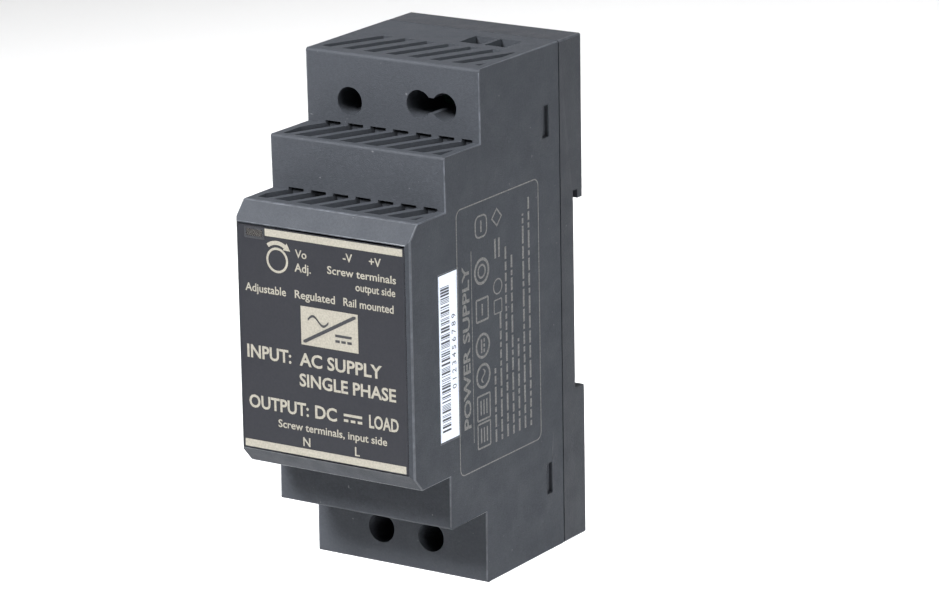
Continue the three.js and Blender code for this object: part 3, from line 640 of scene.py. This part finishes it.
def fine_print(page):
    """Rows of word-length strokes: they read as small print and say nothing."""
    rng = random.Random(5)
    for row, length in enumerate(FINE_PRINT["rows"]):
        v = FINE_PRINT["first"] - FINE_PRINT["pitch"] * row
        u = FINE_PRINT["start"]
        end = u + length
        while u < end:
            word = min(rng.choice(FINE_PRINT["words"]), end - u)
            page.bar(u, u + word, v, v + FINE_PRINT["stroke"])
            u += word + FINE_PRINT["space"]


def make_side_print():
    """The framed data panel: a title over a line, a row of plain symbols, and fine print."""
    plane = Vector((HOUSING_HIGH.x + SIDE_LIFT, 0, 0))
    page = Print(plane, Vector((0, 0, 1)), Vector((0, -1, 0)))
    low, high, rear, front, line = -23.9, 22.6, 11.4, 37.1, 0.2
    page.band(
        rounded_outline(low, high, rear, front, 1.4),
        rounded_outline(low + line, high - line, rear + line, front - line, 1.4 - line),
    )
    page.bar(low + 5, high - 8, 32.6, 32.75)
    page.text("POWER SUPPLY", -16, 33.5, 2.0, width=28.5, bold=LARGE_BOLD)
    # two lined boxes, the alternating and direct current signs in rings, a box with a bar,
    # a ring in a ring, and a rounded box with a bar
    for start in (-20.6, -15.7):
        page.frame_box(start, start + 4.6, 27.4, 31.6, 0.4, 0.3)
        for k in range(3):
            page.bar(start + 1, start + 3.6, 28.4 + 0.9 * k, 28.75 + 0.9 * k)
    page.arc((-7.9, 29.5), 2.0, 0.45, 0, 360, 36)
    page.wave((-7.9, 29.5), 2.4, 0.5, 0.4)
    page.arc((-2.6, 29.5), 2.0, 0.45, 0, 360, 36)
    page.direct_current(-3.8, 29.7, length=2.4, line=0.4, drop=0.8, dash=0.6, pitch=0.9)
    page.frame_box(1.6, 5.8, 27.5, 31.5, 0.4, 0.35)
    page.bar(2.7, 4.7, 29.3, 29.7)
    page.arc((10.4, 29.5), 2.1, 0.5, 0, 360, 36)
    page.arc((10.4, 29.5), 1.1, 0.35, 0, 360, 28)
    page.frame_box(16.2, 20.2, 27.6, 31.4, 1.3, 0.3)
    page.bar(17.2, 19.2, 29.3, 29.7)
    # a diamond, two bars, a ring and a box, none of which stands for anything
    page.band(
        [(17.0, 24.6), (18.65, 22.9), (20.3, 24.6), (18.65, 26.3)],
        [(17.4, 24.6), (18.65, 23.3), (19.9, 24.6), (18.65, 25.9)],
    )
    page.bar(11.6, 15.0, 25.0, 25.5)
    page.bar(11.6, 15.0, 23.8, 24.3)
    page.arc((6.6, 24.6), 1.3, 0.25, 0, 360, 28)
    page.frame_box(1.8, 4.4, 23.3, 25.9, 0.3, 0.22)
    fine_print(page)
    page.piece("side_print", M["side_ink"], "housing")


def make_sticker():
    """Bars of random widths, which encode nothing, beside a row of digits."""
    low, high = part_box("serial_sticker")
    use_material("serial_sticker", "paper")
    plane = Vector((high.x + STICKER_LIFT, 0, 0))
    page = Print(plane, Vector((0, 0, 1)), Vector((0, -1, 0)))
    rng = random.Random(11)
    u = low.z / MM + 1.6
    while u < high.z / MM - 1.8:
        bar = rng.choice((0.12, 0.12, 0.24, 0.36))
        page.bar(u, u + bar, -high.y / MM + 2.5, -low.y / MM - 0.5)
        u += bar + rng.choice((0.14, 0.14, 0.26, 0.38))
    page.text("0 1 2 3 4 5 6 7 8 9", low.z / MM + 8.5, -high.y / MM + 0.7, 1.15, width=13)
    page.piece("sticker_bars", M["black_ink"], "sticker")


make_label()
make_side_print()
make_sticker()

# ---------------------------------------------------------------- carried-over nodes

CARRIED = {  # node: its material, and the rounding of its edges in millimetres
    "led_window": ("window", 0.05),
    "light_pipe": ("window", 0.08),
    "main_pcb": ("board", 0.0),
    "output_terminal_body": ("terminal", 0.15),
    "input_terminal_body": ("terminal", 0.15),
    "trimmer_body": ("blue", 0.15),
    "trimmer_rotor": ("white", 0.12),
    "status_led": ("window", 0.1),
    "transformer_core_rear": ("ferrite", 0.2),
    "transformer_core_front": ("ferrite", 0.2),
    "transformer_bobbin": ("component", 0.12),
    "transformer_winding": ("copper", 0.0),
    "transformer_tape": ("tape", 0.05),
    "bulk_capacitor": ("sleeve", 0.0),
    "output_capacitor_1": ("sleeve", 0.0),
    "output_capacitor_2": ("sleeve", 0.0),
    "choke_core": ("ferrite", 0.2),
    "choke_coil_1": ("copper", 0.0),
    "choke_coil_2": ("copper", 0.0),
    "output_inductor": ("ferrite", 0.0),
    "primary_heatsink": ("aluminium", 0.1),
    "switching_transistor": ("component", 0.12),
    "bridge_rectifier": ("component", 0.12),
    "secondary_heatsink": ("aluminium", 0.1),
    "output_rectifier": ("component", 0.12),
    "x_capacitor": ("tape", 0.3),
    "fuse": ("component", 0.2),
    "thermistor": ("ferrite", 0.2),
    "varistor": ("blue", 0.2),
    "y_capacitor": ("blue", 0.2),
    "optocoupler": ("component", 0.12),
    "controller_ic": ("component", 0.12),
}
for terminal in ("output", "input"):
    for pole in (1, 2):
        CARRIED[f"{terminal}_{pole}_contact"] = ("brass", 0.08)
        CARRIED[f"{terminal}_{pole}_clamp"] = ("steel", 0.12)
        CARRIED[f"{terminal}_{pole}_screw"] = ("steel", 0.08)


def dress(node, material, bevel_mm):
    """Keeps a CAD node, with its own material and slightly rounded edges."""
    use_material(node, material)
    piece = NODES[node]
    for polygon in piece.data.polygons:
        polygon.use_smooth = True
    piece.data.set_sharp_from_angle(angle=SHARP)
    if bevel_mm:
        flat = piece.modifiers.new("whole_faces", "DECIMATE")
        flat.decimate_type = "DISSOLVE"
        flat.angle_limit = FLAT
        bevel = piece.modifiers.new("rounded_edges", "BEVEL")
        bevel.width = bevel_mm * MM
        bevel.segments = 2
        bevel.limit_method = "ANGLE"
        bevel.angle_limit = SHARP
        weighted(piece)


for node, (material, bevel_mm) in CARRIED.items():
    dress(node, material, bevel_mm)

# ---------------------------------------------------------------- rear base, latch and spring

BASE = {"round": 0.35 * MM, "shortest": 2 * MM, "front_limit": -4 * MM}
LATCH = {"round": 0.2 * MM, "shortest": MM, "travel": 4 * MM}
SPRING = {"wire": 0.17 * MM, "turns": 9, "steps": 28, "sides": 10, "closing": 0.25}


def make_base():
    bm = bare_mesh("rear_base")
    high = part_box("rear_base")[1]

    def outer(edge):
        at = middle(edge)
        on_side = abs(at.x) > high.x - TOUCH or abs(at.z) > high.z - TOUCH
        on_rim = on_side or at.y > high.y - TOUCH
        long_enough = edge.calc_length() > BASE["shortest"]
        return edge.is_convex and long_enough and on_rim and at.y > BASE["front_limit"]

    round_edges(bm, sharp_edges(bm, outer), BASE["round"])
    mesh = to_mesh(bm, "base_shell")
    piece = new_piece("base_shell", mesh, "case", [M["base"], M["base_edge"]])
    weighted(piece)
    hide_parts("rear_base")


def make_latch():
    bm = bare_mesh("rail_latch")

    def outer(edge):
        return edge.is_convex and edge.calc_length() > LATCH["shortest"]

    round_edges(bm, sharp_edges(bm, outer), LATCH["round"])
    mesh = to_mesh(bm, "latch_slider")
    piece = new_piece("latch_slider", mesh, "latch", [M["latch"], M["latch_edge"]])
    weighted(piece)
    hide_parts("rail_latch")


def tube_mesh(name, path, radius, sides):
    """A closed round tube along a list of points."""
    bm = bmesh.new()
    rings = []
    for i, point in enumerate(path):
        ahead = path[min(i + 1, len(path) - 1)]
        behind = path[max(i - 1, 0)]
        tangent = (ahead - behind).normalized()
        side = tangent.cross(Vector((0, 0, 1))).normalized()
        lift = side.cross(tangent)
        ring = []
        for k in range(sides):
            angle = 2 * math.pi * k / sides
            outward = math.cos(angle) * side + math.sin(angle) * lift
            ring.append(bm.verts.new(point + radius * outward))
        rings.append(ring)
    for first, second in zip(rings, rings[1:]):
        for k in range(sides):
            j = (k + 1) % sides
            bm.faces.new((first[k], first[j], second[j], second[k]))
    bm.faces.new(rings[0])
    bm.faces.new(rings[-1])
    bmesh.ops.recalc_face_normals(bm, faces=bm.faces)
    return to_mesh(bm, name)


def make_spring():
    low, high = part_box("latch_spring")
    wire = SPRING["wire"]
    centre = Vector(((low.x + high.x) / 2, (low.y + high.y) / 2, 0))
    radius = (high.x - low.x) / 2 - wire
    length = high.z - low.z
    turns, closing = SPRING["turns"], SPRING["closing"]
    points = turns * SPRING["steps"]
    path = []
    for i in range(points + 1):
        t = i / points
        # the end turns lie a little closer together than those between them
        eased = (3 * t * t - 2 * t * t * t) * closing + t * (1 - closing)
        z = low.z + wire + (length - 2 * wire) * eased
        angle = 2 * math.pi * turns * t
        path.append(centre + Vector((radius * math.cos(angle), radius * math.sin(angle), z)))
    mesh = tube_mesh("spring_coil", path, wire, SPRING["sides"])
    piece = new_piece("spring_coil", mesh, "case", [M["spring"]])
    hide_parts("latch_spring")
    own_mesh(piece)


make_base()
make_latch()
make_spring()

# ---------------------------------------------------------------- stage and light

# the floor's height, the backdrop's distance, half the floor's width, and the curve between them
STAGE = {"floor": -0.1, "back": 2.0, "size": 2.5, "sweep": 0.35, "steps": 12}
WORLD_STRENGTH = 0.07
FACING_CAMERA = Matrix.Rotation(math.radians(VIEW["azimuth"]), 4, "Z")


def pale_paint(name, color, roughness):
    """Matt paint with faint clouds."""
    s = Shader(name, color, roughness)
    s.color(s.mix(s.noise(0.05, 3), scaled(color, 0.985), color))
    return s.material


def make_stage():
    """A floor that curves up into a backdrop behind the object."""
    size, sweep, steps = STAGE["size"], STAGE["sweep"], STAGE["steps"]
    profile = [(-size, STAGE["floor"])]
    for k in range(steps + 1):
        angle = math.radians(90 * k / steps)
        y = STAGE["back"] - sweep + sweep * math.sin(angle)
        z = STAGE["floor"] + sweep * (1 - math.cos(angle))
        profile.append((y, z))
    profile.append((STAGE["back"], size))
    bm = bmesh.new()
    rows = []
    for x in (-size, size):
        rows.append([bm.verts.new(FACING_CAMERA @ Vector((x, y, z))) for y, z in profile])
    for i in range(len(profile) - 1):
        bm.faces.new((rows[0][i], rows[1][i], rows[1][i + 1], rows[0][i + 1]))
    floor = bpy.data.objects.new("floor", to_mesh(bm, "floor"))
    floor.data.materials.append(pale_paint("pale_floor", (0.9, 0.9, 0.9), 0.7))
    bpy.context.scene.collection.objects.link(floor)


def area_light(
    name, azimuth, elevation, distance, size, power, color=(1, 1, 1), aim=AIM, spread=180,
):
    """A rectangular lamp that shines at aim, seen from there at azimuth and elevation."""
    az, el = math.radians(azimuth), math.radians(elevation)
    away = Vector((math.sin(az) * math.cos(el), -math.cos(az) * math.cos(el), math.sin(el)))
    data = bpy.data.lights.new(name, "AREA")
    data.shape = "RECTANGLE"
    data.size, data.size_y = size
    data.energy = power
    data.color = color
    data.spread = math.radians(spread)
    light = bpy.data.objects.new(name, data)
    light.location = aim + away * distance
    light.rotation_euler = away.to_track_quat("Z", "Y").to_euler()
    bpy.context.scene.collection.objects.link(light)


make_stage()
area_light("key_cool", -20, 45, 1.0, (0.45, 0.3), 3.5, (0.96, 0.975, 1.0), spread=60)
area_light("front_soft", -25, 48, 1.3, (0.7, 0.5), 1.3, (1.0, 0.98, 0.96))
area_light("right_soft", 84, 28, 1.2, (0.6, 0.8), 13, (0.92, 0.96, 1.0))
area_light("back_warm", 200, 55, 1.1, (0.8, 0.6), 0.7, (1.0, 0.84, 0.68))
# keeps the backdrop white without shining on the object, which lies behind the lamp
BACKDROP_AIM = FACING_CAMERA @ Vector((0, 0.8, 0))
area_light("backdrop", VIEW["azimuth"], 40, 0.6, (0.9, 0.3), 3.6, aim=BACKDROP_AIM)
world = bpy.data.worlds.new("studio")
world.use_nodes = True
sky = world.node_tree.nodes["Background"]
sky.inputs["Color"].default_value = (1, 1, 1, 1)
sky.inputs["Strength"].default_value = WORLD_STRENGTH
bpy.context.scene.world = world
bpy.context.scene.view_settings.view_transform = "Standard"
